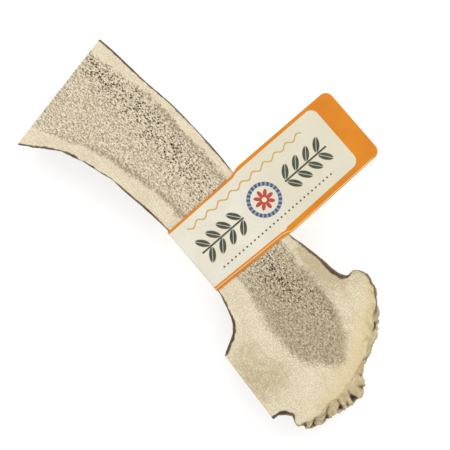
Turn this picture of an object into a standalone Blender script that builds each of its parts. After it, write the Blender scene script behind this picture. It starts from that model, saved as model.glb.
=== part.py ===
"""The base of an elk antler, sawn in half along its length, with a paper label wrapped round its middle.

The antler lies on its bark with the sawn marrow face up. +X runs along the beam to the burr, +Y to the side
where the label's flag stands out, and +Z up. The origin is on the resting surface, under the middle of the box.
The antler is lofted as a blank that is a little too big. Three saw cuts then give it its flat faces, and a
shallow fourth one stands for the wear of the lowest bark, which it rests on.
"""

import math
from collections import namedtuple

import bmesh
import bpy
from mathutils import Vector, noise

MM = 0.001
MERGE_DISTANCE = 0.05  # points nearer to each other than this, in mm, are made one after the saw cuts
SHARP_ANGLE = 35.0

# The beam, from beyond the far saw cut to the rim of the burr. Each station is a slice across the antler: where
# its right and left edges lie on the split face (x, y), how deep the bark goes, how far below the split face
# the slice is widest, how far the deepest point is off the middle, and how far it leans out to the burr. In mm.
Station = namedtuple("Station", "right left depth drop keel lean")
BEAM = [
    Station((-117.0, 9.6), (-106.0, -56.5), 35.5, 5.4, 13.5, 0.0),
    Station((-106.5, 12.4), (-96.5, -49.9), 34.6, 5.0, 13.0, 0.0),
    Station((-97.0, 14.4), (-88.5, -44.0), 33.0, 4.6, 11.0, 0.0),
    Station((-88.0, 16.0), (-81.5, -37.6), 30.8, 4.0, 8.5, 0.0),
    Station((-77.0, 17.6), (-72.5, -32.0), 28.0, 3.6, 6.0, 0.0),
    Station((-64.0, 18.8), (-61.0, -27.8), 25.4, 3.2, 4.0, 0.0),
    Station((-48.0, 19.3), (-46.5, -24.6), 23.3, 3.0, 1.5, 0.0),
    Station((-32.0, 19.5), (-31.5, -22.6), 22.3, 2.8, 0.5, 0.0),
    Station((-17.3, 19.5), (-17.3, -21.6), 22.0, 2.6, 0.0, 0.0),
    Station((2.7, 19.85), (2.7, -22.0), 22.0, 2.6, 0.0, 0.0),
    Station((22.7, 20.2), (22.7, -22.4), 22.0, 3.2, 0.0, 0.0),
    Station((31.0, 21.2), (31.5, -23.4), 22.8, 4.6, -0.5, 0.2),
    Station((38.0, 22.3), (41.5, -25.6), 24.0, 5.4, -1.5, 1.0),
    Station((44.5, 23.5), (52.5, -27.6), 25.4, 6.0, -3.5, 3.0),
    Station((50.0, 24.7), (64.0, -29.6), 26.8, 6.4, -6.0, 6.0),
    Station((54.0, 25.9), (76.0, -31.6), 28.0, 6.6, -9.0, 10.0),
    Station((56.6, 27.4), (84.4, -32.9), 28.8, 6.6, -11.5, 11.5),
    Station((57.0, 28.8), (88.4, -33.0), 29.6, 6.0, -11.5, 12.0),
    Station((57.0, 31.8), (90.6, -34.0), 31.8, 5.2, -11.5, 12.0),
    Station((60.4, 34.2), (92.8, -34.8), 33.2, 4.4, -11.5, 12.0),
    Station((65.0, 33.8), (94.8, -33.8), 33.2, 3.8, -11.5, 12.0),
    Station((70.4, 31.4), (95.2, -31.0), 31.4, 3.6, -11.5, 12.0),
]
BEAM_ROW = 4.4  # spacing of the rows along the beam
BURR_ROW = 1.7  # and round the burr
FIRST_BURR_STATION = 16
ARC_POINTS = 64
ARC_SAMPLES = 240
REACH_STEP = 0.5
BLANK_ABOVE = 2.0  # how far the blank stands above the split face before it is sawn

# The seal is the low dome inside the burr, where the antler came away from the skull. It swells below the
# split face, more towards its left edge.
SEAL_RINGS = 12
SEAL_HEIGHT = 9.5
SEAL_SWELL = 0.8
SEAL_SWELL_ACROSS = (0.42, 0.8)  # where the swelling starts and is full, as shares of the way to the left edge
SEAL_SWELL_DEPTH = 9.0
SEAL_ROUNDNESS = 2.4

# The brow tine is an oval stub that leaves the base sideways, to the left.
TINE_X = 66.5
TINE_HALF_WIDTH = 17.5
TINE_FAR_FLARE = 1.3
TINE_FAR_GROWTH = 0.14
TINE_BURR_FLARE = 0.53
TINE_HALF_DEPTH = 15.5
TINE_DEPTH_FLARE = 1.0
TINE_DEPTH_GROWTH = 0.12
TINE_LENGTH = 20.0
TINE_ROOT_Y = -14.0
TINE_FILLET = 4.0
CROOK_X = (27.0, 60.0)  # the crook between the beam and the tine, which is smoothed
CROOK_Y = (-41.0, -15.0)
CROOK_PASSES = 5

# The saw cuts: a point on each, and the direction that falls away.
SPLIT_POINT = (0.0, 0.0, 0.0)
SPLIT_NORMAL = (0.0, 0.0, 1.0)
TINE_CUT_POINT = (66.5, -42.3, 0.0)
TINE_CUT_NORMAL = (-0.065, -0.998, 0.0)
TINE_END_Y = -50.0
END_CUT_POINT = (-106.0, 12.5, 0.0)
END_CUT_NORMAL = (-0.982, -0.191, 0.0)
FOOT_WEAR = 0.7  # how much of the lowest bark is rubbed flat, at the burr and at the far end

# Bark: long shallow ridges on the beam, and pearls, the knobs of the burr. Pearls are spaced by rows and points
# of the antler's grid.
RIDGE_HEIGHT = 0.75
RIDGE_UNDER_LABEL = 0.3
RIDGE_WIDTH = 5.5
RIDGE_LENGTH = 60.0
RIDGE_SHARE = 1.3
FINE_RIDGE_SHARE = 0.5
RIDGE_LOST_AMONG_PEARLS = 0.6
LABEL_RIDGE_BLEND = (2.0, 12.0)  # how far beyond the label's edges the ridges start to rise, and are full
PEARL_ROWS = 5
PEARL_ROW_STEP = 3
PEARL_POINT_STEP = 4
PEARL_RADIUS = 4.6
PEARL_RADIUS_SPREAD = 0.3
PEARL_STRAY = 0.5
SCATTER_SHIFTS = (0.0, 31.7, 67.3)
PEARL_HEIGHT = 2.4
PEARL_SUNK = 0.5

# The label: a paper band glued round the beam, its two ends stuck together as a flag.
LABEL_X = (-17.3, 22.7)
LABEL_TIP_Y = 79.0
LABEL_PAPER = 0.3
LABEL_GAP = 0.8
LABEL_LIFT = 0.3
LABEL_ARC_POINTS = 30
LABEL_FLAG_SPANS = 6
LABEL_DROOP = 3.0
LABEL_DROOP_POWER = 1.6
LABEL_CORNER = 3.0
LABEL_CORNER_SEGMENTS = 4

BONE_COLOUR = (0.68, 0.58, 0.42)
LABEL_COLOUR = (0.84, 0.81, 0.72)


def clear_scene():
    for obj in list(bpy.data.objects):
        bpy.data.objects.remove(obj)


def smooth_step(value, low, high):
    share = max(0.0, min(1.0, (value - low) / (high - low)))
    return share * share * (3 - 2 * share)


def flat(station):
    """A station's numbers in one row, so that they can be blended together."""
    return (*station.right, *station.left, *station[2:])


def through(before, start, end, after, share):
    """A smooth curve through four rows of numbers, at this share of the way from the second to the third."""
    blended = []
    for p0, p1, p2, p3 in zip(before, start, end, after):
        slope_in, slope_out = (p2 - p0) / 2, (p3 - p1) / 2
        rise = p2 - p1
        bend = 3 * rise - 2 * slope_in - slope_out
        twist = slope_in + slope_out - 2 * rise
        blended.append(p1 + share * (slope_in + share * (bend + share * twist)))
    return blended


def beam_rows():
    """Stations at an even spacing, each with its place along the list of stations."""
    rows = []
    values = [flat(station) for station in BEAM]
    for i in range(len(values) - 1):
        before, after = values[max(i - 1, 0)], values[min(i + 2, len(values) - 1)]
        start, end = values[i], values[i + 1]
        length = max(math.dist(start[0:2], end[0:2]), math.dist(start[2:4], end[2:4]))
        pitch = BURR_ROW if i >= FIRST_BURR_STATION else BEAM_ROW
        steps = max(1, round(length / pitch))
        for step in range(steps):
            row = through(before, start, end, after, step / steps)
            rows.append((i + step / steps, station_of(row)))
    rows.append((len(values) - 1.0, BEAM[-1]))
    return rows


def station_of(row):
    return Station(tuple(row[0:2]), tuple(row[2:4]), *row[4:])


class Slice:
    """One slice's own axes: its middle on the split face, across to the right edge, and out towards the burr."""

    def __init__(self, station):
        right, left = Vector((*station.right, 0)), Vector((*station.left, 0))
        self.middle = (right + left) / 2
        self.half = (right - left).length / 2
        self.across = (right - left).normalized()
        self.out = Vector((self.across.y, -self.across.x, 0))
        self.station = station
        self.round_depth = station.depth - station.drop
        self.wide = self.half / math.sqrt(1 - (station.drop / self.round_depth) ** 2)

    def point(self, across, down):
        """A place in the slice: mm to the right of its middle, and mm below the split face."""
        station = self.station
        shift = station.keel * max(0.0, down / station.depth) ** 2
        leant = station.lean * down / station.depth
        return self.middle + self.across * (across + shift) + self.out * leant + Vector((0, 0, -down))


def tine_distance(point):
    """About how far a place is outside the brow tine's oval, in mm, and below 0 inside it."""
    past_cut = max(0.0, min(point.y - TINE_CUT_POINT[1], TINE_LENGTH))
    if point.x < TINE_X:
        half_width = TINE_HALF_WIDTH + TINE_FAR_FLARE * math.exp(TINE_FAR_GROWTH * past_cut)
    else:
        half_width = TINE_HALF_WIDTH + TINE_BURR_FLARE * past_cut
    half_depth = TINE_HALF_DEPTH + TINE_DEPTH_FLARE * math.exp(TINE_DEPTH_GROWTH * past_cut)
    oval = math.hypot((point.x - TINE_X) / half_width, point.z / half_depth)
    inside = (oval - 1) * min(half_width, half_depth)
    return max(inside, point.y - TINE_ROOT_Y, TINE_END_Y - point.y)


def soft_min(a, b, blend):
    share = max(0.0, min(1.0, 0.5 + (b - a) / (2 * blend)))
    return b + (a - b) * share - blend * share * (1 - share)


def reach(cut, angle_across, angle_down, beam_reach):
    """How far the antler goes from the slice's centre in one direction, the brow tine included."""
    distance, inside = beam_reach, 0.0
    while distance < 3 * cut.half:
        place = cut.point(angle_across * distance, cut.station.drop + angle_down * distance)
        outside = soft_min(distance - beam_reach, tine_distance(place), TINE_FILLET)
        if outside > 0:
            return distance - REACH_STEP * outside / (outside - inside)
        distance, inside = distance + REACH_STEP, outside
    return distance


def ridges(place, arc_mm):
    """Long ridges along the beam, in mm, lower under the label."""
    row = noise.noise(Vector((arc_mm / RIDGE_WIDTH, place / RIDGE_LENGTH, 3.0)))
    fine = noise.noise(Vector((2.3 * arc_mm / RIDGE_WIDTH, 2.5 * place / RIDGE_LENGTH, 8.0)))
    near, far = LABEL_RIDGE_BLEND
    under = smooth_step(place, LABEL_X[0] - far, LABEL_X[0] - near)
    under *= 1 - smooth_step(place, LABEL_X[1] + near, LABEL_X[1] + far)
    height = RIDGE_HEIGHT + (RIDGE_UNDER_LABEL - RIDGE_HEIGHT) * under
    return height * (RIDGE_SHARE * row + FINE_RIDGE_SHARE * fine)


def spread_evenly(points, count):
    """The same curve with this many points, an equal way apart."""
    lengths = [0.0]
    for a, b in zip(points, points[1:]):
        lengths.append(lengths[-1] + (b - a).length)
    spaced, index = [], 0
    for i in range(count):
        wanted = lengths[-1] * i / (count - 1)
        while index < len(points) - 2 and lengths[index + 1] < wanted:
            index += 1
        span = lengths[index + 1] - lengths[index]
        share = (wanted - lengths[index]) / span if span else 0.0
        spaced.append(points[index].lerp(points[index + 1], share))
    return spaced


def bark_arc(station, stand_off=0.0, above=BLANK_ABOVE, count=ARC_POINTS):
    """The outside of one slice, from its right edge, round below, to its left edge."""
    cut = Slice(station)
    start = math.asin(min(0.99, (station.drop + above) / cut.round_depth))
    points = []
    for i in range(ARC_SAMPLES + 1):
        angle = -start + (math.pi + 2 * start) * i / ARC_SAMPLES
        across, down = cut.wide * math.cos(angle), cut.round_depth * math.sin(angle)
        beam_reach = math.hypot(across, down)
        way_across, way_down = across / beam_reach, down / beam_reach
        distance = reach(cut, way_across, way_down, beam_reach) + stand_off
        points.append(cut.point(way_across * distance, station.drop + way_down * distance))
    return spread_evenly(points, count)


def seal_rows(rim):
    """The dome inside the burr: copies of the rim that shrink to its middle, which is the last point."""
    pole = (rim[0] + rim[-1]) / 2
    across = rim[-1] - rim[0]
    out = Slice(BEAM[-1]).out
    rows = []
    for ring in range(1, SEAL_RINGS):
        share = ring / SEAL_RINGS
        rise = SEAL_HEIGHT * (1 - (1 - share) ** SEAL_ROUNDNESS)
        row = []
        for point in rim:
            leftward = (point - rim[0]).dot(across) / across.length_squared
            swell = smooth_step(leftward, *SEAL_SWELL_ACROSS)
            swell *= smooth_step(-point.z * (1 - share), 0.0, SEAL_SWELL_DEPTH)
            row.append(pole + (point - pole) * (1 - share) + out * rise * (1 + SEAL_SWELL * swell))
        rows.append(row)
    return rows, pole + out * SEAL_HEIGHT


def scatter(seed):
    """Three even numbers from about -1 to 1 for a place, the same each run."""
    return Vector(noise.noise(seed + Vector((shift, 0, 0))) for shift in SCATTER_SHIFTS)


def pearl_centres(grid, first_row):
    """Where the burr's knobs stand, and how big each is."""
    centres = []
    for row in range(PEARL_ROWS):
        for index in range(-1, ARC_POINTS // PEARL_POINT_STEP + 2):
            jitter = scatter(Vector((index * 1.7, row * 5.3, 11.5)))
            around = (index + 0.5 * (row % 2) + PEARL_STRAY * jitter.x) * PEARL_POINT_STEP
            around = max(0, min(ARC_POINTS - 1, round(around)))
            along = round(first_row + row * PEARL_ROW_STEP + jitter.y)
            centres.append((grid[along][around], PEARL_RADIUS * (1 + PEARL_RADIUS_SPREAD * jitter.z)))
    return centres


def pearls(centres, point):
    """How far the knobs stand out here, in mm. Where two meet there is a crease."""
    best = 0.0
    for centre, radius in centres:
        best = max(best, 1 - (point - centre).length_squared / radius**2)
    return PEARL_HEIGHT * math.sqrt(best)


def roughened(grid, burr_row):
    """The same grid with the bark's ridges and the burr's pearls raised on it."""
    centres = pearl_centres(grid, burr_row + 1)
    last_pearl_row = burr_row + PEARL_ROWS * PEARL_ROW_STEP
    raised = []
    for r, row in enumerate(grid):
        behind, ahead = grid[max(r - 1, 0)], grid[min(r + 1, len(grid) - 1)]
        pearly = smooth_step(r, burr_row - 2, burr_row + 2)
        pearly *= 1 - smooth_step(r, last_pearl_row - 1, last_pearl_row + 3)
        around, new_row = 0.0, []
        for i, point in enumerate(row):
            before, after = row[max(i - 1, 0)], row[min(i + 1, len(row) - 1)]
            around += (point - before).length
            outward = (ahead[i] - behind[i]).cross(after - before).normalized()
            height = ridges(point.x, around) * (1 - RIDGE_LOST_AMONG_PEARLS * pearly)
            height += pearly * (pearls(centres, point) - PEARL_SUNK * PEARL_HEIGHT)
            new_row.append(point + outward * height)
        raised.append(new_row)
    return raised


def add_ring(bm, points):
    return [bm.verts.new(point * MM) for point in points]


def bridge_rows(bm, rows):
    """Skins neighbouring rows with quads, closed along the top of the blank."""
    for near, far in zip(rows, rows[1:]):
        count = len(near)
        for i in range(count):
            j = (i + 1) % count
            bm.faces.new((near[i], near[j], far[j], far[i]))


def smooth_crook(bm):
    """Softens the hollow where the brow tine leaves the beam."""
    crook = [
        vert
        for vert in bm.verts
        if CROOK_X[0] < vert.co.x / MM < CROOK_X[1]
        and CROOK_Y[0] < vert.co.y / MM < CROOK_Y[1]
        and vert.co.z < 0
    ]
    for _ in range(CROOK_PASSES):
        bmesh.ops.smooth_vert(bm, verts=crook, factor=0.5, use_axis_x=True, use_axis_y=True, use_axis_z=True)


def saw(bm, point, normal, reaches=lambda face: True):
    """A straight cut: all that it reaches beyond it goes, and the cut is closed flat."""
    faces = [face for face in bm.faces if reaches(face)]
    geometry = dict.fromkeys(part for face in faces for part in (*face.verts, *face.edges))
    cut = bmesh.ops.bisect_plane(
        bm,
        geom=faces + list(geometry),
        dist=1e-6,
        plane_co=Vector(point) * MM,
        plane_no=Vector(normal).normalized(),
        clear_outer=True,
    )
    edges = [part for part in cut["geom_cut"] if isinstance(part, bmesh.types.BMEdge)]
    bmesh.ops.holes_fill(bm, edges=edges, sides=0)


def antler_blank():
    """The whole closed antler before sawing: a grid of slices with the seal's dome on its end."""
    places, stations = zip(*beam_rows())
    grid = [bark_arc(station) for station in stations]
    burr_row = next(i for i, place in enumerate(places) if place >= FIRST_BURR_STATION)
    dome, tip = seal_rows(grid[-1])
    bm = bmesh.new()
    rows = [add_ring(bm, row) for row in roughened(grid + dome, burr_row)]
    bridge_rows(bm, rows)
    bm.faces.new(rows[0])
    end = bm.verts.new(tip * MM)
    for i, vert in enumerate(rows[-1]):
        bm.faces.new((vert, rows[-1][(i + 1) % ARC_POINTS], end))
    bmesh.ops.recalc_face_normals(bm, faces=bm.faces[:])
    return bm


def make_object(name, bm, colour, roughness):
    mesh = bpy.data.meshes.new(name)
    bm.to_mesh(mesh)
    bm.free()
    material = bpy.data.materials.new(name)
    material.use_nodes = True
    shader = material.node_tree.nodes["Principled BSDF"]
    shader.inputs["Base Color"].default_value = (*colour, 1)
    shader.inputs["Roughness"].default_value = roughness
    shader.inputs["Metallic"].default_value = 0.0
    mesh.materials.append(material)
    obj = bpy.data.objects.new(name, mesh)
    bpy.context.scene.collection.objects.link(obj)
    return obj


def split_antler():
    """The blank sawn across the brow tine, along its length and across the far end, then worn underneath."""
    bm = antler_blank()
    smooth_crook(bm)
    saw(bm, TINE_CUT_POINT, TINE_CUT_NORMAL, reaches=lambda face: face.calc_center_median().x > 0)
    saw(bm, SPLIT_POINT, SPLIT_NORMAL)
    saw(bm, END_CUT_POINT, END_CUT_NORMAL)
    lowest = min(vert.co.z for vert in bm.verts) / MM
    saw(bm, (0, 0, lowest + FOOT_WEAR), (0, 0, -1))
    bmesh.ops.remove_doubles(bm, verts=bm.verts[:], dist=MERGE_DISTANCE * MM)
    bmesh.ops.recalc_face_normals(bm, faces=bm.faces[:])
    antler = make_object("antler", bm, BONE_COLOUR, 0.6)
    antler.data.shade_smooth()
    antler.data.set_sharp_from_angle(angle=math.radians(SHARP_ANGLE))
    return antler


def label_loops(station):
    """The band's inner and outer outline in one slice, from the right edge under the antler to the left."""
    loops = []
    for stand_off in (LABEL_GAP, LABEL_GAP + LABEL_PAPER):
        arc = bark_arc(station, stand_off, 0.0, LABEL_ARC_POINTS)
        loops.append([(point.y, point.z) for point in arc])
    return loops


def label_section(bm, x, station):
    """The label's cut end: a ring of quads round the antler, and the flag's double strip of paper."""
    inner, outer = label_loops(station)
    low, high = LABEL_LIFT, LABEL_LIFT + LABEL_PAPER
    inner[0], inner[-1] = (inner[0][0], low), (inner[-1][0], low)
    outer[0], outer[-1] = (outer[0][0], low - LABEL_PAPER), (outer[-1][0], high)

    def vert(place):
        return bm.verts.new((x * MM, place[0] * MM, place[1] * MM))

    inside = [vert(place) for place in inner]
    outside = [vert(place) for place in outer]
    faces = []
    for i in range(len(inner) - 1):
        faces.append(bm.faces.new((inside[i], inside[i + 1], outside[i + 1], outside[i])))
    top_right = vert((outer[0][0], high))
    faces.append(bm.faces.new((inside[-1], inside[0], top_right, outside[-1])))
    faces.append(bm.faces.new((inside[0], outside[0], top_right)))
    above, below = top_right, outside[0]
    start = outer[0][0]
    for span in range(1, LABEL_FLAG_SPANS + 1):
        share = span / LABEL_FLAG_SPANS
        y = start + (LABEL_TIP_Y - start) * share
        droop = LABEL_DROOP * share**LABEL_DROOP_POWER
        next_above = vert((y, high - droop))
        next_below = vert((y, low - LABEL_PAPER - droop))
        faces.append(bm.faces.new((above, below, next_below, next_above)))
        above, below = next_above, next_below
    return faces


def widen_with_beam(verts, near, far):
    """The far end of the band is a little wider, as the beam is. The flag keeps its length."""
    near_right, far_right = near.right[1], far.right[1]
    near_left, far_left = near.left[1], far.left[1]
    for vert in verts:
        y = vert.co.y / MM
        share = (y - near_left) / (near_right - near_left)
        wanted = far_left + (far_right - far_left) * share
        flag = smooth_step(y, near_right + 2, LABEL_TIP_Y)
        vert.co.y = (wanted + (y - wanted) * flag) * MM


def wrap_label():
    near = next(s for s in BEAM if s.right[0] == LABEL_X[0])
    far = next(s for s in BEAM if s.right[0] == LABEL_X[1])
    bm = bmesh.new()
    faces = label_section(bm, LABEL_X[0], near)
    made = bmesh.ops.extrude_face_region(bm, geom=faces, use_keep_orig=True)
    moved = [part for part in made["geom"] if isinstance(part, bmesh.types.BMVert)]
    bmesh.ops.translate(bm, verts=moved, vec=((LABEL_X[1] - LABEL_X[0]) * MM, 0, 0))
    widen_with_beam(moved, near, far)
    tip = (LABEL_TIP_Y - 0.2) * MM
    corners = [
        edge
        for edge in bm.edges
        if all(vert.co.y > tip for vert in edge.verts)
        and abs(edge.verts[0].co.x - edge.verts[1].co.x) < 1e-6
    ]
    bmesh.ops.bevel(
        bm,
        geom=corners,
        offset=LABEL_CORNER * MM,
        segments=LABEL_CORNER_SEGMENTS,
        profile=0.5,
        affect="EDGES",
        material=-1,
    )
    bmesh.ops.recalc_face_normals(bm, faces=bm.faces[:])
    return make_object("paper_label", bm, LABEL_COLOUR, 0.5)


def stand_on_surface(objects):
    """Moves everything so that the lowest point is at height 0 and the box is centred on the origin."""
    corners = [vert.co for obj in objects for vert in obj.data.vertices]
    low = Vector(min(corner[axis] for corner in corners) for axis in range(3))
    high = Vector(max(corner[axis] for corner in corners) for axis in range(3))
    shift = Vector((-(low.x + high.x) / 2, -(low.y + high.y) / 2, -low.z))
    for obj in objects:
        for vert in obj.data.vertices:
            vert.co += shift


def main():
    clear_scene()
    stand_on_surface([split_antler(), wrap_label()])


main()
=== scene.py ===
import math

import bmesh
import bpy
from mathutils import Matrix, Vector, noise
from mathutils.bvhtree import BVHTree
from mathutils.kdtree import KDTree


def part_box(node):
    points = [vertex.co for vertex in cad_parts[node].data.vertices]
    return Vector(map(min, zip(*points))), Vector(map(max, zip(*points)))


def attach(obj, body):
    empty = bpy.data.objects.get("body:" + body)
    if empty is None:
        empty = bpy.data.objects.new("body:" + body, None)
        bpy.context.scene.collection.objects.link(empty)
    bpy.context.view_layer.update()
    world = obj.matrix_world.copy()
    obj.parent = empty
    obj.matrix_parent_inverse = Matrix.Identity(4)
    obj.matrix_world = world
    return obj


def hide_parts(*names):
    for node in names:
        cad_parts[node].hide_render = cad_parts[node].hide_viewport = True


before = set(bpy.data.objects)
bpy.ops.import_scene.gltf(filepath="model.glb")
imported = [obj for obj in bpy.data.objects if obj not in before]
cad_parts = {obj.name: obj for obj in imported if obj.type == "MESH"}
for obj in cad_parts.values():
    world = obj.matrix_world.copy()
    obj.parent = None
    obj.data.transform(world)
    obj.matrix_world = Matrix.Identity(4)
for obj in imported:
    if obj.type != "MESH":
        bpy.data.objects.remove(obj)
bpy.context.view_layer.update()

# The antler is one grown piece: brown ridged bark round a shell of cream bone, with spongy marrow inside. It
# was sawn in half along its length, then across the far end and the brow tine. The saw opened the marrow's
# pores, so the cut faces are pitted. It grew a burr with pearls at its base, and has no join anywhere.

MM = 0.001
SPLIT_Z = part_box("antler")[1][2]  # height of the sawn marrow face
split_corners = [vert.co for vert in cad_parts["antler"].data.vertices if vert.co.z > SPLIT_Z - 1e-6]
FAR_CORNER = Vector((-106.0, 12.5, 0.0))  # the split face's far right corner, in mm from the beam's middle
MIDDLE = min(split_corners, key=lambda corner: corner.x) / MM - FAR_CORNER
END_NORMAL = Vector((-0.982, -0.191, 0.0)).normalized()  # out of the far saw cut, through that corner
TINE_POINT = Vector((66.5, -42.3, 0.0))  # a point of the brow tine's saw cut
TINE_NORMAL = Vector((-0.065, -0.998, 0.0)).normalized()
SAW_DEPTH = 0.08  # how far below the CAD's flat faces the pitted ones begin, in mm
SPARE_BARK = 2.0  # how far the unsawn blank stands past those faces, in mm
SLAB_THICKNESS = 5.0  # of the waste that each saw cut takes away, in mm
PORE_DEPTH = 0.7  # of the deepest pores, in mm


def along_beam(place):
    """A place in metres as mm from the beam's middle: X to the burr, Y to the flag, Z up from the split."""
    return place / MM - MIDDLE


def in_metres(place):
    """A place in mm from the beam's middle as the scene's metres."""
    return (place + MIDDLE) * MM


def smooth_step(value, low, high):
    """Rises smoothly from 0 at low to 1 at high."""
    share = max(0.0, min(1.0, (value - low) / (high - low)))
    return share * share * (3 - 2 * share)


def on_line(points, x):
    """The height at x of a line through these points."""
    for (x0, y0), (x1, y1) in zip(points, points[1:]):
        if x <= x1:
            share = max(0.0, (x - x0) / (x1 - x0))
            return y0 + (y1 - y0) * share
    return points[-1][1]


# The marrow on the split face lies between these two lines, in mm.
MARROW_RIGHT = [
    (-106, 4.5), (-101, 6.8), (-86, 11), (-75, 13), (-57, 15), (-40, 15.5), (-17, 15.8), (27, 15.4), (53, 16),
    (69, 13), (81, 7.5), (89, 1),
]
MARROW_LEFT = [
    (-100, -42), (-90, -37), (-82, -32.5), (-71, -26.5), (-60, -22.2), (-46, -18.5), (-30, -15.6), (-15, -14),
    (27, -13), (43, -15), (58, -17), (66, -17.5), (78, -12.5), (87, -3),
]


def marrow(place):
    """How spongy the bone is at a place of the split face: 0 in the shell, 1 in the marrow."""
    wander = noise.noise(Vector((place.x / 14, place.y / 9, 4.0))) * 2.2
    wander += noise.noise(Vector((place.x / 4, place.y / 4, 9.0))) * 1.2
    right = on_line(MARROW_RIGHT, place.x) + wander
    left = on_line(MARROW_LEFT, place.x) - wander
    softness = 1.8 + 3.2 * smooth_step(place.x, 20, 60)
    inside = smooth_step(right - place.y, -softness, softness)
    inside *= smooth_step(place.y - left, -softness, softness)
    return inside * (1 - smooth_step(place.x, 84, 91))


def scatter(place):
    """Three smooth numbers from about -1 to 1 for a place, the same each run."""
    return Vector(noise.noise(place + Vector((shift, 0, 0))) for shift in (0.0, 31.7, 67.3))


def bell(value, middle, width):
    """A smooth hump: 1 at the middle, and nearly 0 at twice the width from it."""
    return math.exp(-(((value - middle) / width) ** 2))


# The darkest pores lie along this line, in mm.
PORE_BAND = [(-106, -2), (-99, 1), (-86, 2.5), (-73, 4.8), (-46, 5.5), (-20, 2), (25, 2), (45, 4), (70, 9)]


def crowding(place):
    """How close and dark the split's pores are, from 0 to about 1: most along a band right of the middle."""
    width = 7 + 0.05 * (place.x + 100) if place.x < 5 else 9.5
    strength = 1 - 0.35 * smooth_step(place.x, -42, -18) if place.x < 5 else 1.1 * bell(place.x, 34, 27)
    border = 0.75 * bell(place.y - on_line(MARROW_RIGHT, place.x), -3.5, 2.5) * bell(place.x, 62, 14)
    band = strength * bell(place.y, on_line(PORE_BAND, place.x), width)
    return max(band, border) * (1 + 0.2 * noise.noise(place / 5))


def pores(place, amount, crowd):
    """Depth of the marrow's pores, in mm: slits along the beam, widest where they are most crowded."""
    if amount < 0.02:
        return 0.0
    bent = place + scatter(place / 4) * 0.7
    spot = Vector((bent.x / 1.75, (bent.y + 0.12 * bent.x) / 1.05, place.z / 1.2))
    distances, centres = noise.voronoi(spot)
    chance = 0.5 + 0.5 * noise.noise(centres[0] * 3.7)
    size = (0.06 + 0.12 * chance + 0.24 * crowd) * amount
    return PORE_DEPTH * smooth_step(size - distances[0], 0.0, 0.16)


def seam(place):
    """The dark mottled lines inside the marrow's borders: one on its left, and two on its right."""
    wander = 0.8 * noise.noise(Vector((place.x / 6, 2.0, 7.0)))
    strip = bell(place.y - on_line(MARROW_LEFT, place.x) + wander, 2.0, 1.5) * smooth_step(place.x, -84, -66)
    lines = bell(place.y + wander, 13.6, 1.0) + 0.5 * bell(place.y + wander, 11.2, 0.7)
    lines *= smooth_step(place.x, -84, -70)
    near = 0.8 * bell(place.y - on_line(MARROW_RIGHT, place.x) + wander, -2.0, 1.6) * bell(place.x, 62, 16)
    return (strip + lines) * (1 - smooth_step(place.x, -16, -12)) + near


# Dull patches of the shell beside the brow tine: strength, then X and its width and Y and its width, in mm.
DULL_PATCHES = [(0.3, 52, 7, -28, 5), (0.65, 70, 8, -26, 6), (1.0, 63, 16, -37, 9)]


def dullness(place):
    """How grey-brown the shell is here: most in the dull patches and along the beam's right edge."""
    patches = sum(s * bell(place.x, x, dx) * bell(place.y, y, dy) for s, x, dx, y, dy in DULL_PATCHES)
    edge = 1.5 * bell(place.x, 44, 16) * smooth_step(place.y, 13.5, 19)
    return (patches + edge) * (0.9 + 0.5 * noise.noise(place / 3))


def bare_blank():
    """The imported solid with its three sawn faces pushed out, so that the saws have bark to go through."""
    bm = bmesh.new()
    bm.from_mesh(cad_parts["antler"].data)
    bmesh.ops.remove_doubles(bm, verts=bm.verts[:], dist=1e-6)
    for normal in (Vector((0, 0, 1)), END_NORMAL, TINE_NORMAL):
        far = max(vert.co.dot(normal) for vert in bm.verts) if normal.z else None
        sawn = [face for face in bm.faces if face.normal.dot(normal) > 0.9999]
        if far is not None:  # of the faces that look straight up, only the highest were sawn
            sawn = [face for face in sawn if face.calc_center_median().dot(normal) > far - 1e-5]
        made = bmesh.ops.extrude_face_region(bm, geom=sawn)
        moved = [part for part in made["geom"] if isinstance(part, bmesh.types.BMVert)]
        bmesh.ops.translate(bm, verts=moved, vec=normal * SPARE_BARK * MM)
        bmesh.ops.delete(bm, geom=[face for face in sawn if face.is_valid], context="FACES")
    bmesh.ops.recalc_face_normals(bm, faces=bm.faces[:])
    return bm


def apply_modifiers(obj):
    """Gives the object the mesh that its modifiers make, and drops them."""
    bpy.context.view_layer.update()
    mesh = bpy.data.meshes.new_from_object(obj.evaluated_get(bpy.context.evaluated_depsgraph_get()))
    obj.modifiers.clear()
    old = obj.data
    obj.data = mesh
    bpy.data.meshes.remove(old)


def new_piece(name, bm):
    """An object in the scene with this bmesh as its mesh."""
    mesh = bpy.data.meshes.new(name)
    bm.to_mesh(mesh)
    bm.free()
    piece = bpy.data.objects.new(name, mesh)
    bpy.context.scene.collection.objects.link(piece)
    return piece


def past_burr(place):
    """How far a place is past the burr's plane, towards the seal, in mm."""
    return place.x * 0.889 + place.y * 0.458 - 64.4 + 0.5 * min(place.z, 0.0)


# Seen from above, the clefts between the burr's outermost knobs lie round this point.
BURR_MIDDLE = Vector((85.0, -8.0, 0.0))
# The angle of each cleft in degrees, its depth against the usual one, and how far out it is fully cut, in mm.
CLEFTS = [
    (-125, 0.4, 43), (-96, 0.7, 35), (-80, 0.3, 29), (-66, 0.6, 29.5), (-56, 0.9, 27.5), (-43, 1.2, 24.5),
    (-25, 1.2, 20.5), (-12, 0.4, 19.5), (1, 1.0, 18.5), (21, 0.4, 18.5), (41, 0.55, 17.5), (66, 0.3, 19),
    (93, 1.0, 31.5), (112, 0.35, 48), (135, 0.3, 50),
]


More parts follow.
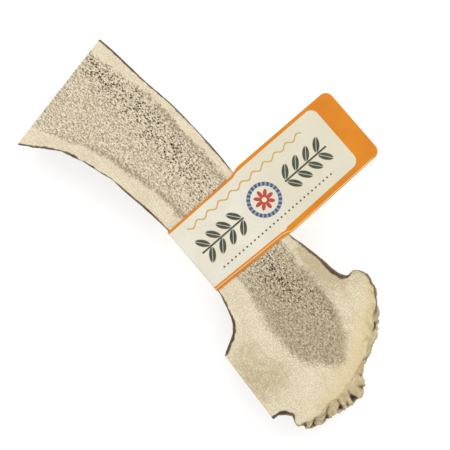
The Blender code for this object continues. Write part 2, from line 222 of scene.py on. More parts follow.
def burr_shape(place):
    """Where a place is among the burr's knobs: how deep in a cleft, and how high on a knob, about 0 to 1."""
    past = past_burr(place)
    ring = smooth_step(past, -5, 0)
    if ring == 0:
        return 0.0, 0.0
    out = place - BURR_MIDDLE
    bent = scatter(place / 6)
    angle = math.degrees(math.atan2(out.y, out.x)) + 3.0 * bent.x
    radius = math.hypot(out.x, out.y)
    off, depth, reach = min((abs(angle - a), d, r) for a, d, r in CLEFTS)
    off *= math.pi / 180 * radius  # from degrees to mm round the burr
    free = smooth_step(radius, reach - 5.0, reach)
    groove = 0.25 * smooth_step(-place.z, 0.5, 3)
    cleft = depth * (1 - smooth_step(off, 0.2, 0.9 + 0.9 * free)) * max(free, groove)
    knob = 0.5 + (min(1.0, off / 2.6) - 0.5) * max(free, 2 * groove)
    outer = 1 - smooth_step(-place.z, 10, 16)  # further down, pearls take over from the rim's knobs
    sideways = place.y * 0.889 - place.x * 0.458 + 24
    round_burr = math.atan2(-place.z, sideways) * 34
    spot = Vector((round_burr / 6.4, past / 7.5, math.hypot(sideways, place.z) / 16))
    distances, _ = noise.voronoi(spot + bent * 0.25)
    lower = 1 - smooth_step(distances[1] - distances[0], 0.02, 0.3)
    inner = 1 - 0.9 * smooth_step(past, 7, 12)
    cleft = (cleft * outer + lower * inner * (1 - outer)) * ring
    pearl = min(1.0, 2 * (distances[1] - distances[0]))
    return cleft, (knob * outer + pearl * (1 - outer)) * ring


def bark_ridge(place):
    """The bark's fine ridges along the beam, from about -1 to 1."""
    ridge = noise.noise(Vector((place.x / 16, place.y / 1.9, place.z / 1.9)))
    return ridge + 0.5 * noise.noise(Vector((place.x / 7, place.y / 0.95, place.z / 0.95)))


# Where the bark stands out or in along the split's edge, in mm: X and Y, reach, and how far at the split and
# 3 mm below it. Where it is further out below, its brown side shows from above.
SWELLINGS = [
    ((-80, 17), 21, -2.2, -2.1), ((-66, -31), 14, 0.4, 0.2), ((-42, -25), 12, 0.8, 0.5),
    ((39, -30), 7, -1.5, -1.3), ((45, -36.5), 5, -0.9, 0.1), ((86.5, -38), 5, -2.4, 0.2),
    ((97, -33), 4, -0.1, 0.6), ((101.5, 2.5), 5, -1.4, -1.8), ((94, 10.5), 6, 1.4, 1.3),
    ((87.4, 21.3), 4.5, 0.3, 3.7), ((81, 27), 4, 0.3, 1.2), ((78, 30), 6, 0.4, -0.6),
    ((68, 35.5), 7, 0.3, 0.5), ((63, 37), 4, -0.9, -0.8), ((57, 33), 6, -0.2, 0.6),
    ((52, 27.5), 7, -1.4, -0.8),
]


def grains(place):
    """The small rough grains of bone on the burr, from 0 between them to 1 on them."""
    spot = Vector((place.x / 3.1, place.y / 3.1, place.z / 3.6))
    distances, _ = noise.voronoi(spot + scatter(place / 4) * 0.8)
    return smooth_step(distances[1] - distances[0], 0.0, 0.6)


def bark_relief(place):
    """How far the bark stands out or in here, in mm: ridges on the beam, knobs and rough bone at the burr."""
    end = smooth_step(past_burr(place), -6, 2)
    rough = noise.noise(place / 2.6) + 0.6 * noise.noise(place / 1.2)
    cleft, knob = burr_shape(place)
    swelling = 0.35 * smooth_step(-place.z, 0.2, 2) * (1 - smooth_step(-place.z, 6, 14)) * (1 - end)
    swelling *= smooth_step(abs(place.x - 3), 20, 26)
    for (x, y), reach, at_split, below in SWELLINGS:
        height = at_split + (below - at_split) * smooth_step(-place.z, 0, 3)
        height *= 1 - smooth_step(-place.z, 12, 24)
        swelling += height * bell(math.hypot(place.x - x, place.y - y), 0, reach)
    ridges = 0.3 * bark_ridge(place) * (1 - end)
    grain = grains(place) * (0.3 + 0.7 * smooth_step(-place.z, 3, 10))
    lumps = (0.16 * rough + 0.7 * knob + 0.55 * grain - 0.25) * end
    return 0.1 + swelling + ridges + lumps - 1.9 * cleft


antler = new_piece("antler_bone", bare_blank())
remesh = antler.modifiers.new("even", "REMESH")
remesh.mode = "VOXEL"
remesh.voxel_size = 1.0 * MM
apply_modifiers(antler)
bm = bmesh.new()
bm.from_mesh(antler.data)
bmesh.ops.smooth_vert(bm, verts=bm.verts[:], factor=0.5, use_axis_x=True, use_axis_y=True, use_axis_z=True)


def on_rim(vert):
    """Whether a point is on the burr's rim near the split, whose knobs need a finer mesh."""
    place = along_beam(vert.co)
    return past_burr(place) > -3 and -18 < place.z < 1.5


rim_edges = [edge for edge in bm.edges if on_rim(edge.verts[0]) and on_rim(edge.verts[1])]
bmesh.ops.subdivide_edges(bm, edges=rim_edges, cuts=1, use_grid_fill=True)
bm.normal_update()
relief = []
for vert in bm.verts:
    place = along_beam(vert.co)
    level = 1 - smooth_step(place.z, -0.5, 0.5)  # above the split the waste only moves sideways
    relief.append(Vector((vert.normal.x, vert.normal.y, vert.normal.z * level)) * bark_relief(place) * MM)
for vert, push in zip(bm.verts, relief):
    vert.co += push
    vert.co.z = max(vert.co.z, 0.0)
bm.to_mesh(antler.data)
bm.free()


def sawn_slab(name, cells, place_of, up):
    """The waste side of a saw cut: a slab whose lower face has the pits that the cut leaves in the bone."""
    bm = bmesh.new()
    bmesh.ops.create_grid(bm, x_segments=cells[0], y_segments=cells[1], size=1.0)
    for vert in bm.verts:
        vert.co = place_of(vert.co.x, vert.co.y)
    made = bmesh.ops.extrude_face_region(bm, geom=bm.faces[:], use_keep_orig=True)
    top = [part for part in made["geom"] if isinstance(part, bmesh.types.BMVert)]
    bmesh.ops.translate(bm, verts=top, vec=up * SLAB_THICKNESS * MM)
    bmesh.ops.recalc_face_normals(bm, faces=bm.faces[:])
    return new_piece(name, bm)


def split_place(u, v):
    """A point of the split's saw cut, from a grid whose rows lie closest over the beam."""
    place = Vector((u * 109, -6 + 30.4 * v + 14.6 * v**3, 0.0))
    uneven = 0.05 * noise.noise(place / 6)
    place.z -= SAW_DEPTH + pores(place, marrow(place), crowding(place)) + uneven
    return in_metres(place)


def end_marrow(place):
    """How spongy the bone is on the far end's face, whose marrow is an oval cut off by the split."""
    off = Vector(((place.y + 17) / 25, place.z / 27)).length
    return 1 - smooth_step(off + 0.15 * noise.noise(place / 6), 0.85, 1.05)


def end_place(u, v):
    across = Vector((END_NORMAL.y, -END_NORMAL.x, 0))
    place = FAR_CORNER + across * (u * 38 - 30) + Vector((0, 0, v * 20 - 17))
    depth = pores(Vector((place.z + 30, place.y, 9)), end_marrow(place), 0.4)
    return in_metres(place - END_NORMAL * (SAW_DEPTH + depth))


def tine_place(u, v):
    across = Vector((-TINE_NORMAL.y, TINE_NORMAL.x, 0))
    place = TINE_POINT + across * u * 21 + Vector((0, 0, v * 11 - 9))
    place -= TINE_NORMAL * (SAW_DEPTH + pores(Vector((place.z, place.x, 60)), 0.4, 0.2))
    return in_metres(place)


bark_material = bpy.data.materials.new("antler_bark")
marrow_material = bpy.data.materials.new("sawn_marrow")
antler.data.materials.clear()
antler.data.materials.append(bark_material)
slabs = [
    sawn_slab("split_waste", (480, 160), split_place, Vector((0, 0, 1))),
    sawn_slab("end_waste", (110, 60), end_place, END_NORMAL),
    sawn_slab("tine_waste", (70, 36), tine_place, TINE_NORMAL),
]
for slab in slabs:
    slab.data.materials.append(marrow_material)
    cut = antler.modifiers.new(slab.name, "BOOLEAN")
    cut.operation = "DIFFERENCE"
    cut.solver = "MANIFOLD"
    cut.material_mode = "TRANSFER"
    cut.object = slab
apply_modifiers(antler)
for slab in slabs:
    bpy.data.objects.remove(slab)


def add_measure(mesh, name, values):
    """Keeps one number for each point of the mesh, for its materials to read."""
    mesh.attributes.new(name, "FLOAT", "POINT").data.foreach_set("value", values)


def edge_distances(mesh):
    """How far each point is from the nearest edge between a sawn face and the bark, in mm."""
    kinds = [set() for _ in mesh.vertices]
    for polygon in mesh.polygons:
        for index in polygon.vertices:
            kinds[index].add(polygon.material_index)
    shared = [vert for vert in mesh.vertices if len(kinds[vert.index]) > 1]
    tree = KDTree(len(shared))
    for i, vert in enumerate(shared):
        tree.insert(vert.co, i)
    tree.balance()
    return [tree.find(vert.co)[2] / MM for vert in mesh.vertices]


places = [along_beam(vert.co) for vert in antler.data.vertices]
spongy, pitted, crowded = [], [], []
for place in places:
    below = -place.z
    behind_end = (FAR_CORNER - place).dot(END_NORMAL)
    behind_tine = (TINE_POINT - place).dot(TINE_NORMAL)
    if below < 1.0:  # the split, then the far end, then the tine
        spongy.append(marrow(place))
        crowded.append(crowding(place))
        depth = below
    elif behind_end < 1.2:
        spongy.append(end_marrow(place))
        crowded.append(0.35)
        depth = behind_end
    else:
        spongy.append(0.35)
        crowded.append(0.1)
        depth = behind_tine
    # How deep below the saw face a point lies, which the marrow's finish turns into painted shade in the
    # pits.
    pitted.append(smooth_step(depth, SAW_DEPTH + 0.1, SAW_DEPTH + 0.6))
add_measure(antler.data, "marrow", spongy)
add_measure(antler.data, "pore", pitted)
add_measure(antler.data, "crowd", crowded)
add_measure(antler.data, "off_edge", edge_distances(antler.data))
add_measure(antler.data, "cleft", [burr_shape(place)[0] for place in places])
add_measure(antler.data, "ridge", [bark_ridge(place) for place in places])
add_measure(antler.data, "past_burr", [past_burr(place) for place in places])
add_measure(antler.data, "seam", [seam(place) if place.z > -1 else 0.0 for place in places])
add_measure(antler.data, "dull", [dullness(place) if place.z > -1 else 0.0 for place in places])
add_measure(antler.data, "grains", [grains(place) if past_burr(place) > -6 else 1.0 for place in places])
add_measure(antler.data, "facing_up", [vert.normal.z for vert in antler.data.vertices])


def tint(red, green, blue):
    """A colour given as it looks on a screen, from 0 to 255, as a shader wants it."""
    channels = [value / 255 for value in (red, green, blue)]
    return (*[c / 12.92 if c < 0.04045 else ((c + 0.055) / 1.055) ** 2.4 for c in channels], 1.0)


class Finish:
    """A material's node tree, with short ways to add to it. Its place is in mm from the beam's middle."""

    def __init__(self, material):
        material.use_nodes = True
        self.tree = material.node_tree
        self.shader = self.tree.nodes["Principled BSDF"]
        metres = self.node("ShaderNodeTexCoord").outputs["Object"]
        mapping = {"Vector": metres, "Location": -MIDDLE, "Scale": (1000,) * 3}
        self.place = self.node("ShaderNodeMapping", mapping).outputs[0]

    def node(self, kind, inputs=None, **settings):
        made = self.tree.nodes.new(kind)
        for key, value in settings.items():
            setattr(made, key, value)
        for key, value in (inputs or {}).items():
            if isinstance(value, bpy.types.NodeSocket):
                self.tree.links.new(value, made.inputs[key])
            else:
                made.inputs[key].default_value = value
        return made

    def measure(self, name):
        return self.node("ShaderNodeAttribute", attribute_name=name).outputs["Fac"]

    def scaled(self, x, y, z):
        inputs = {0: self.place, 1: (1 / x, 1 / y, 1 / z)}
        return self.node("ShaderNodeVectorMath", inputs, operation="MULTIPLY").outputs[0]

    def noise(self, grain, detail=3.0, rough=0.55):
        """Noise whose lumps are about this size along X, Y and Z, in mm."""
        inputs = {"Vector": self.scaled(*grain), "Scale": 1.0, "Detail": detail, "Roughness": rough}
        return self.node("ShaderNodeTexNoise", inputs).outputs["Fac"]

    def steps(self, value, low, high, start=0.0, end=1.0):
        """Goes smoothly from start, where the value is low, to end, where it is high."""
        inputs = {"Value": value, "From Min": low, "From Max": high, "To Min": start, "To Max": end}
        return self.node("ShaderNodeMapRange", inputs, interpolation_type="SMOOTHSTEP").outputs[0]

    def math(self, operation, *values):
        return self.node("ShaderNodeMath", dict(enumerate(values)), operation=operation).outputs[0]

    def times(self, value, share):
        return self.math("MULTIPLY", value, share)

    def mix(self, share, under, over):
        return self.node("ShaderNodeMix", {0: share, 6: under, 7: over}, data_type="RGBA").outputs[2]

    def bump(self, height, distance, strength=1.0):
        inputs = {"Height": height, "Distance": distance * MM, "Strength": strength}
        return self.node("ShaderNodeBump", inputs).outputs[0]

    def wear(self, colour, roughness, normal):
        for key, value in (("Base Color", colour), ("Roughness", roughness), ("Normal", normal)):
            self.tree.links.new(value, self.shader.inputs[key])


def finish_marrow():
    """Sawn bone: a cream shell with faint grain along the beam, and grey-brown marrow full of pores, with
    painted shade in its pores, painted highlights and shade in its speckles, and a painted dark line where it
    meets the bark.
    """
    bone = Finish(marrow_material)
    pore, crowd, off_edge = bone.measure("pore"), bone.measure("crowd"), bone.measure("off_edge")
    past = bone.measure("past_burr")
    way = bone.node("ShaderNodeSeparateXYZ", {0: bone.place}).outputs
    near_burr = bone.steps(way["X"], 5, 45)
    grain = bone.noise((11, 1.6, 4), 4.0)
    blotch = bone.noise((13, 8, 8), 3.0)
    fine = bone.noise((0.9, 0.6, 0.6), 2.0)
    mottle = bone.noise((1.7, 0.95, 0.95), 4.0, 0.7)

    # The shell is cream with faint streaks, blotches and flecks, and dull in patches.
    shell = bone.mix(bone.steps(grain, 0.32, 0.72), tint(237, 224, 194), tint(226, 211, 180))
    shell = bone.mix(bone.steps(blotch, 0.42, 0.66, 0, 0.55), shell, tint(217, 201, 171))
    shell = bone.mix(bone.steps(fine, 0.48, 0.66, 0, 0.6), shell, tint(200, 184, 152))
    shell = bone.mix(bone.steps(fine, 0.46, 0.36, 0, 0.75), shell, tint(250, 238, 208))
    dull = bone.times(bone.measure("dull"), bone.steps(fine, 0.3, 0.6, 0.6, 1.1))
    shell = bone.mix(bone.steps(dull, 0, 1.0, 0, 0.65), shell, tint(178, 159, 118))

    # The marrow is a web of bone, darker near the burr, and speckled with painted highlights and painted
    # shade.
    web = bone.mix(near_burr, tint(213, 198, 170), tint(179, 162, 132))
    smudge = bone.steps(bone.noise((9, 4, 4), 3.0), 0.42, 0.66, 0, 0.6)
    web = bone.mix(smudge, web, bone.mix(near_burr, tint(196, 179, 149), tint(160, 144, 114)))
    painted_highlight_at_burr = bone.mix(crowd, tint(216, 200, 166), tint(232, 216, 186))
    light = bone.mix(near_burr, tint(247, 234, 207), painted_highlight_at_burr)
    shadow = bone.mix(crowd, tint(122, 104, 74), tint(92, 74, 48))
    # Painted highlights and painted shade: the light and dark speckles of the web.
    web = bone.mix(bone.steps(mottle, 0.5, 0.63, 0, 0.9), web, light)
    web = bone.mix(bone.steps(mottle, 0.47, 0.36, 0, 0.8), web, shadow)
    web = bone.mix(bone.steps(fine, 0.53, 0.61, 0, 0.8), web, light)
    web = bone.mix(bone.steps(fine, 0.46, 0.38, 0, 0.75), web, shadow)

    # Its finest pores are only coloured, as dark spots of painted shade, the larger ones are pits darkened
    # with painted shade, and both are darkest where they crowd.
    spongy = bone.math("ADD", bone.measure("marrow"), bone.steps(fine, 0.3, 0.7, -0.38, 0.38))
    spongy = bone.steps(spongy, 0.15, 0.85)
    cells = bone.node("ShaderNodeTexVoronoi", {"Vector": bone.scaled(1.5, 0.95, 0.95), "Scale": 1.0})
    chance = bone.node("ShaderNodeSeparateColor", {0: cells.outputs["Color"]}).outputs[0]
    hole = bone.times(bone.steps(cells.outputs["Distance"], 0.4, 0.22), bone.steps(chance, 0.1, 0.5))
    hole = bone.times(hole, spongy)
    dark = bone.mix(bone.steps(crowd, 0.1, 0.9), tint(122, 104, 75), tint(66, 50, 28))
    # Painted shade: the finest pores are dark spots with no pits under them.
    web = bone.mix(bone.times(hole, bone.steps(crowd, 0, 0.8, 0.5, 0.9)), web, dark)
    seam_share = bone.times(bone.measure("seam"), bone.steps(mottle, 0.6, 0.38, 0.25, 0.9))
    web = bone.mix(seam_share, web, tint(140, 122, 92))
    colour = bone.mix(spongy, shell, web)
    # Painted shade: the pits are darkened by how deep they lie below the saw face.
    colour = bone.mix(bone.steps(pore, 0.15, 0.8), colour, dark)

    # Past the burr the shell is warmer and golden along its rim. Where it meets the bark it has a thin
    # painted line: dark painted shade along the beam, for the bark's shaded edge, and pale past the burr.
    warm = bone.mix(spongy, tint(228, 206, 156), colour)
    colour = bone.mix(bone.steps(past, 2, 16, 0, 0.55), colour, warm)
    rim = bone.times(bone.steps(off_edge, 5.5, 1.0), bone.steps(past, 4, 12))
    rim = bone.times(rim, bone.steps(bone.noise((2.4, 2.4, 2.4), 3.0, 0.6), 0.42, 0.62, 0.15, 0.75))
    rim = bone.times(rim, bone.steps(way["Y"], 6, 18, 0.35, 1.0))
    colour = bone.mix(rim, colour, tint(192, 169, 114))
    # Painted shade: a thin dark line on the face along its edge with the bark, pale past the burr.
    painted_edge_shade = bone.mix(bone.steps(past, -4, 1), tint(100, 80, 52), tint(206, 186, 142))
    edge_shade_reach = bone.math("ADD", off_edge, bone.steps(bone.noise((3, 3, 3), 2.0), 0.3, 0.7, -0.25, 0.25))
    colour = bone.mix(bone.steps(edge_shade_reach, 0.55, 0.15, 0, 0.85), colour, painted_edge_shade)

    height = bone.math("SUBTRACT", bone.times(fine, 0.5), hole)
    bone.wear(colour, bone.steps(grain, 0.2, 0.8, 0.5, 0.7), bone.bump(height, 0.2, 0.8))
    bone.shader.inputs["Specular IOR Level"].default_value = 0.3


def finish_bark():
    """Brown bark, dark in its hollows and rubbed to cream on some ridges, with painted shade along the cuts,
    and the burr's pale rough bone, with a painted highlight on top and painted shade in its clefts, between
    its grains and on its steep sides.
    """
    bark = Finish(bark_material)
    ridge, cleft, past = bark.measure("ridge"), bark.measure("cleft"), bark.measure("past_burr")
    off_edge, facing_up = bark.measure("off_edge"), bark.measure("facing_up")
    way = bark.node("ShaderNodeSeparateXYZ", {0: bark.place}).outputs
    streak = bark.noise((15, 1.5, 1.5), 5.0, 0.65)
    patch = bark.noise((30, 10, 10), 3.0)
    fine = bark.noise((1.6, 0.5, 0.5), 3.0, 0.65)
    grit = bark.noise((0.9, 0.7, 0.7), 2.0, 0.6)

    # The beam's bark is streaked brown, dark between its ridges, and rubbed in places; along the saw cuts it
    # is darkened with painted shade.
    brown = bark.mix(bark.steps(streak, 0.32, 0.68), tint(84, 54, 24), tint(150, 113, 69))
    brown = bark.mix(bark.steps(patch, 0.42, 0.7, 0, 0.6), brown, tint(110, 74, 36))
    brown = bark.mix(bark.steps(grit, 0.5, 0.68, 0, 0.6), brown, tint(172, 134, 84))
    brown = bark.mix(bark.steps(ridge, -0.1, -0.75, 0, 0.8), brown, tint(50, 31, 13))
    handled = bark.steps(bark.noise((24, 5, 5), 2.0), 0.38, 0.66)
    rubbed = bark.math("ADD", bark.steps(ridge, -0.3, 1.0), handled)
    rubbed = bark.math("ADD", rubbed, bark.steps(off_edge, 5.0, 1.5, 0, 0.3))
    rubbed = bark.math("ADD", rubbed, bark.steps(grit, 0.3, 0.7, -0.35, 0.35))
    rubbed = bark.math("ADD", rubbed, bark.steps(fine, 0.3, 0.7, 0.2, -0.2))
    brown = bark.mix(bark.steps(rubbed, 1.1, 1.75, 0, 0.85), brown, tint(212, 186, 142))
    brown = bark.mix(bark.steps(fine, 0.56, 0.72, 0, 0.6), brown, tint(56, 36, 16))
    # Painted shade: a dark band along the saw cuts' edges, for the bark's shaded edge.
    brown = bark.mix(bark.steps(off_edge, 3.2, 1.2, 0, 0.85), brown, tint(54, 42, 26))

    # The burr's bone is pale and darker in its pits; it has a painted highlight on its upward faces, and
    # painted shade in its clefts and between its grains.
    low = bark.steps(way["Z"], -3, -12)
    cloud = bark.steps(bark.noise((5, 5, 5), 4.0), 0.35, 0.68)
    pale = bark.mix(cloud, tint(232, 214, 168), tint(206, 186, 140))
    pale = bark.mix(bark.steps(fine, 0.58, 0.78, 0, 0.5), pale, tint(140, 118, 80))
    # Painted highlight: faces that look up, high on the burr, are made lighter.
    top = bark.times(bark.steps(facing_up, 0.45, 0.85), bark.steps(low, 1, 0, 0, 0.6))
    pale = bark.mix(top, pale, tint(238, 219, 172))
    # Painted shade: the clefts are darkened.
    pale = bark.mix(bark.steps(cleft, 0.05, 0.35, 0, 0.8), pale, tint(134, 108, 66))
    # Painted shade: the hollows between the grains are darkened, most low down.
    between = bark.times(bark.steps(bark.measure("grains"), 0.5, 0.05), bark.steps(low, 0, 1, 0.25, 0.6))
    pale = bark.mix(between, pale, tint(156, 132, 90))
    pits = bark.times(bark.steps(grit, 0.56, 0.7, 0, 0.7), bark.steps(patch, 0.35, 0.65))
    pale = bark.mix(bark.times(pits, bark.steps(low, 0, 1, 0.5, 1)), pale, tint(134, 110, 70))

    # Its steep sides just below the split are darkened with painted shade, most of all round the lobe on the
    # right.
    outermost = bark.times(bark.steps(off_edge, 0.8, 1.8), bark.steps(off_edge, 8, 4))
    painted_side_shade = bark.times(bark.steps(facing_up, 0.5, 0.1), outermost)
    painted_side_shade = bark.times(painted_side_shade, bark.steps(way["Y"], 6, 12, 0.85, 0.3))
    pale = bark.mix(painted_side_shade, pale, tint(104, 80, 48))
    # Painted shade: the lobe's sides that turn away from the top are darkest.
    painted_lobe_shade = bark.times(bark.steps(facing_up, 0.85, 0.4), bark.steps(way["Y"], 23, 28))
    pale = bark.mix(bark.times(painted_lobe_shade, bark.times(outermost, 0.85)), pale, tint(84, 66, 40))

    border = bark.math("ADD", past, bark.steps(bark.noise((5, 5, 5), 2.0), 0.2, 0.8, -4.0, 4.0))
    colour = bark.mix(bark.steps(border, -1.0, 4.0), brown, pale)
    # Painted shade: the deepest clefts are made nearly black.
    colour = bark.mix(bark.steps(cleft, 0.22, 0.6, 0, 0.95), colour, tint(36, 24, 12))
    height = bark.math("ADD", streak, bark.times(grit, 0.4))
    height = bark.math("SUBTRACT", height, bark.steps(fine, 0.5, 0.75, 0, 0.6))
    bark.wear(colour, bark.steps(streak, 0.2, 0.8, 0.5, 0.72), bark.bump(height, 0.4, 1.0))
    bark.shader.inputs["Specular IOR Level"].default_value = 0.4


finish_marrow()
finish_bark()
antler.data.shade_smooth()
antler.data.set_sharp_from_angle(angle=math.radians(50))
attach(antler, "root")
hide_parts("antler")

# The label is a strip of coated paper, printed on its outside. It is wrapped once round the beam, and its two
# ends are stuck back to back as a flag that stands out past the antler's right edge.

LABEL_LEFT = [(-24, -15.2), (18, -15.6), (22, -17.2), (79, -17.0)]  # Y and X of its left edge, in mm
LABEL_RIGHT = [(-24, 21.4), (18, 22.7), (22, 23.6), (60, 23.0), (79, 22.6)]
FLAG_TIP = 79.0
FLAG_DROOP = 3.0  # how far the tip hangs below the flag's root, in mm
FLAG_CORNER = 4.0  # radius of the tip's corners, in mm
PAPER = 0.22  # thickness, in mm
LAY = 0.42  # how high the label's upper layer lies over the split, in mm
BEAM_CENTRE = (-1.2, -5.0)  # Y and Z of the point that the label is wrapped round
WRAP_STEPS = 44
FACE_RIGHT, FACE_LEFT = 20.6, -22.6  # Y where the label leaves the split face for the bark
PRINTED_POINTS = 48  # of the label's line, from the flag's tip over the split face
DESIGN_X, DESIGN_Y = 3.2, 22.0  # the rosette's middle


def bark_radius(tree, x, angle):
    """How far the antler goes from the beam's centre, looking out at this angle in the slice at x."""
    way = Vector((0, math.cos(angle), math.sin(angle)))
    centre = in_metres(Vector((x, *BEAM_CENTRE)))
    hit = tree.ray_cast(centre + way * 0.06, -way)
    return 60 - hit[3] / MM if hit[0] else 0.0


def wrap_line(tree, x_from, x_to):
    """The label's way under the antler in one stretch of the beam, held off by the highest ridges there."""
    first = math.atan2(-BEAM_CENTRE[1] - 0.6, FACE_RIGHT - BEAM_CENTRE[0])
    last = -math.pi - math.atan2(-BEAM_CENTRE[1] + 0.2, BEAM_CENTRE[0] - FACE_LEFT)
    angles = [first + (last - first) * i / WRAP_STEPS for i in range(WRAP_STEPS + 1)]
    slices = [x_from + (x_to - x_from) * i / 6 for i in range(7)]
    radii = [max(bark_radius(tree, x, angle) for x in slices) + 0.3 for angle in angles]
    smooth = []
    for i in range(len(radii)):
        around = radii[max(i - 2, 0) : i + 3]
        smooth.append(sum(around) / len(around))
    return [
        (BEAM_CENTRE[0] + max(r, s) * math.cos(a), BEAM_CENTRE[1] + max(r, s) * math.sin(a))
        for r, s, a in zip(radii, smooth, angles)
    ]


def droop(y):
    """How far the flag hangs down here, in mm."""
    return FLAG_DROOP * (max(0.0, y - FACE_RIGHT) / (FLAG_TIP - FACE_RIGHT)) ** 1.6


def label_line(tree, x_from, x_to):
    """The paper's whole way as Y and Z: from the flag's tip over the split face, round the bark and back."""
    flag = [FACE_RIGHT + 0.6 + (FLAG_TIP - FLAG_CORNER - FACE_RIGHT - 0.6) * (i / 26) for i in range(27)]
    flag += [FLAG_TIP - FLAG_CORNER * (1 - math.sin(math.radians(15 * i))) for i in range(1, 7)]
    over = [(y, LAY - droop(y)) for y in reversed(flag)]
    across = FACE_RIGHT - FACE_LEFT
    face = [(FACE_RIGHT - across * i / 14, LAY - 0.05 * math.sin(i * 0.7)) for i in range(15)]
    under = list(reversed(wrap_line(tree, x_from, x_to)))
    back = [(y, LAY - PAPER - 0.03 - droop(y)) for y in flag]
    return over + face + under + back


tree = BVHTree.FromPolygons(
    [vert.co for vert in antler.data.vertices], [tuple(p.vertices) for p in antler.data.polygons]
)
far_line = label_line(tree, -16, 3)
near_line = label_line(tree, 3, 22)
bm = bmesh.new()
from_left = bm.verts.layers.float.new("from_left")
from_right = bm.verts.layers.float.new("from_right")
upper = bm.verts.layers.float.new("upper")
rows = len(far_line) - 1
bmesh.ops.create_grid(bm, x_segments=16, y_segments=rows, size=1.0)
for vert in bm.verts:
    share = (vert.co.x + 1) / 2  # of the way from the label's left edge to its right one
    row = round((vert.co.y + 1) / 2 * rows)
    y, z = Vector(far_line[row]).lerp(Vector(near_line[row]), share)
    left, right = on_line(LABEL_LEFT, y), on_line(LABEL_RIGHT, y)
    past_corner = max(0.0, y - (FLAG_TIP - FLAG_CORNER))
    narrowing = FLAG_CORNER - math.sqrt(max(0.0, FLAG_CORNER**2 - past_corner**2))
    x = left + narrowing + (right - left - 2 * narrowing) * share
    vert[from_left], vert[from_right] = x - left, right - x
    vert[upper] = 1.0 if row < PRINTED_POINTS else 0.0
    vert.co = in_metres(Vector((x, y, z)))
label = new_piece("paper_band", bm)
paper = label.modifiers.new("paper", "SOLIDIFY")
paper.thickness = PAPER * MM
paper.offset = 0
apply_modifiers(label)
label_material = bpy.data.materials.new("printed_paper")
label.data.materials.append(label_material)


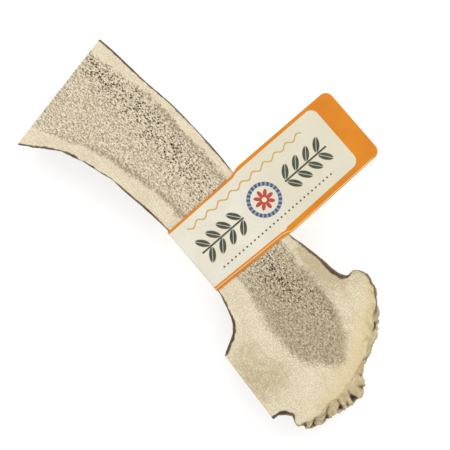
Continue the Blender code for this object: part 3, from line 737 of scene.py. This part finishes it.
def finish_label():
    """Cream coated paper with orange borders. Its upper side is printed with two leafy sprigs, a small
    rosette between them, a golden wavy line and a dotted one."""
    paper = Finish(label_material)
    parts = paper.node("ShaderNodeSeparateXYZ", {0: paper.place}).outputs
    x, y = parts["X"], parts["Y"]
    fibre = paper.noise((1.2, 2.4, 1.2), 4.0, 0.6)
    speck = paper.noise((0.7, 0.7, 0.7), 1.0)
    cloud = paper.noise((18, 18, 18), 2.0)
    upper = paper.measure("upper")

    def minus(value, amount):
        return paper.math("SUBTRACT", value, amount)

    def size_of(value):
        return paper.math("ABSOLUTE", value)

    def inside(distance, edge):
        return paper.steps(distance, edge + 0.12, edge - 0.12)

    def both(*shares):
        shown = shares[0]
        for share in shares[1:]:
            shown = paper.times(shown, share)
        return shown

    def length(a, b):
        flat = paper.node("ShaderNodeCombineXYZ", {0: a, 1: b})
        return paper.node("ShaderNodeVectorMath", {0: flat.outputs[0]}, operation="LENGTH").outputs["Value"]

    # The field has round corners at its end, and a thin pale line runs along the right border.
    on_flag = paper.steps(y, 19.5, 22.5)
    field = paper.mix(paper.steps(y, 10, 35), tint(236, 231, 214), tint(228, 221, 198))
    field = paper.mix(paper.steps(cloud, 0.35, 0.7, 0, 0.5), field, tint(222, 214, 188))
    field = paper.mix(paper.steps(speck, 0.55, 0.75, 0, 0.35), field, tint(208, 197, 170))
    orange = paper.mix(paper.steps(cloud, 0.3, 0.7), tint(226, 138, 12), tint(217, 127, 8))
    left_border = paper.math("ADD", 5.2, paper.times(on_flag, 0.6))
    right_border = paper.math("ADD", 6.4, paper.times(on_flag, 1.2))
    off_left = minus(left_border, paper.measure("from_left"))
    off_right = minus(right_border, paper.measure("from_right"))
    off_end = minus(y, 64.2)
    off_side = paper.math("MAXIMUM", off_left, off_right)
    beyond = length(paper.math("MAXIMUM", off_side, 0.0), paper.math("MAXIMUM", off_end, 0.0))
    colour = paper.mix(paper.steps(beyond, 3.9, 4.15), field, orange)
    off_line = paper.math("ADD", minus(paper.measure("from_right"), 1.35), paper.times(on_flag, 0.75))
    line = both(inside(size_of(off_line), 0.16), paper.steps(y, 76, 72))
    colour = paper.mix(line, colour, tint(246, 216, 172))

    # Each sprig is a stem away from the rosette, with a pair of slanting leaves at each step.
    off_stem = size_of(minus(x, DESIGN_X))
    along = size_of(minus(y, DESIGN_Y))
    step = minus(paper.math("MODULO", along, 6.5), 3.25)
    side = minus(off_stem, 3.6)
    tilt = math.radians(38)
    long_way = paper.math("ADD", paper.times(side, math.cos(tilt)), paper.times(step, math.sin(tilt)))
    short_way = minus(paper.times(step, math.cos(tilt)), paper.times(side, math.sin(tilt)))
    leaf = length(paper.math("DIVIDE", long_way, 3.9), paper.math("DIVIDE", short_way, 1.75))
    vein = inside(size_of(short_way), 0.16)
    leaf = both(inside(leaf, 0.95), minus(1.0, paper.times(vein, 0.7)))
    stem = inside(off_stem, 0.45)
    grown = both(paper.steps(along, 12.9, 13.1), paper.steps(along, 39.1, 38.9), paper.steps(y, -17, -16.8))
    ink = paper.mix(paper.steps(fibre, 0.3, 0.7), tint(62, 66, 52), tint(84, 86, 70))
    colour = paper.mix(both(paper.math("MAXIMUM", leaf, stem), grown, upper), colour, ink)

    # The rosette has eight petals round a cream eye, in a slate ring of beads.
    from_rosette = length(minus(x, DESIGN_X), minus(y, DESIGN_Y))
    turn = paper.math("ARCTAN2", minus(y, DESIGN_Y), minus(x, DESIGN_X))
    lobes = size_of(paper.math("COSINE", paper.times(turn, 4.0)))
    petals = inside(minus(from_rosette, paper.times(lobes, 3.2)), 2.0)
    ring = both(inside(from_rosette, 8.6), minus(1.0, inside(from_rosette, 6.7)))
    beads = paper.math("COSINE", paper.times(turn, 24.0))
    slate = paper.mix(paper.steps(beads, 0.0, 0.5, 0, 0.6), tint(72, 88, 118), tint(176, 188, 205))
    colour = paper.mix(both(ring, upper), colour, slate)
    colour = paper.mix(both(petals, upper), colour, tint(186, 74, 58))
    colour = paper.mix(both(inside(from_rosette, 1.2), upper), colour, tint(240, 226, 190))

    # The wavy line runs along the left border, and the dotted one along the right.
    wave = paper.times(paper.math("SINE", paper.times(y, 0.9)), 0.9)
    off_wave = size_of(minus(paper.math("ADD", x, 9.6), wave))
    span = both(paper.steps(y, -15, -14.8), paper.steps(y, 56.2, 56))
    colour = paper.mix(both(inside(off_wave, 0.42), span, upper), colour, tint(206, 172, 96))
    dot_step = minus(paper.math("MODULO", paper.math("ADD", y, 60.0), 2.4), 1.2)
    dots = inside(length(minus(x, 14.8), dot_step), 0.5)
    colour = paper.mix(both(dots, span, upper), colour, tint(96, 92, 76))

    paper.wear(colour, paper.steps(fibre, 0.3, 0.7, 0.34, 0.48), paper.bump(fibre, 0.02, 0.6))
    paper.shader.inputs["Specular IOR Level"].default_value = 0.25


finish_label()
label.data.shade_smooth()
label.data.set_sharp_from_angle(angle=math.radians(40))
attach(label, "root")
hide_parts("paper_label")

# The floor is a plain white table that glows a little, lit softly from the top of the picture, so that the
# shadows on it stay faint.

bm = bmesh.new()
bmesh.ops.create_grid(bm, x_segments=1, y_segments=1, size=1.5)
floor = new_piece("floor", bm)
floor_material = bpy.data.materials.new("pale_table")
table = Finish(floor_material)
cloud = table.noise((60, 60, 60), 2.0)
white = table.mix(cloud, (0.53, 0.53, 0.53, 1), (0.57, 0.57, 0.57, 1))
table.wear(white, table.steps(cloud, 0, 1, 0.5, 0.6), table.bump(cloud, 0.01))
table.shader.inputs["Emission Color"].default_value = (1, 1, 1, 1)
table.shader.inputs["Emission Strength"].default_value = 0.62
floor.data.materials.append(floor_material)

light = bpy.data.lights.new("window", "AREA")
light.size = 0.9
light.energy = 4.2
window = bpy.data.objects.new("window", light)
bpy.context.scene.collection.objects.link(window)
window.location = (-0.35, 0.45, 0.95)
window.rotation_euler = (-window.location).to_track_quat("-Z", "Y").to_euler()

world = bpy.data.worlds.new("room")
bpy.context.scene.world = world
world.use_nodes = True
world.node_tree.nodes["Background"].inputs["Color"].default_value = (1, 1, 1, 1)
world.node_tree.nodes["Background"].inputs["Strength"].default_value = 0.76
bpy.context.scene.view_settings.view_transform = "Standard"

# The camera looks straight down on the split face, with the beam lying askew in its view.

CAMERA_HEIGHT = 1.1  # over the split face, in metres
PHOTO_WIDTH = 0.2142  # what the picture's width spans on the split face, in metres
CAMERA_TURN = 49.0  # about its line of sight, in degrees
camera_data = bpy.data.cameras.new("camera")
camera_data.sensor_width = 36
camera_data.lens = 36 * CAMERA_HEIGHT / PHOTO_WIDTH
camera = bpy.data.objects.new("camera", camera_data)
bpy.context.scene.collection.objects.link(camera)
camera.location = in_metres(Vector((0, 0, 0))) + Vector((0, 0, CAMERA_HEIGHT))
camera.rotation_euler = (0, 0, math.radians(CAMERA_TURN))
bpy.context.scene.camera = camera
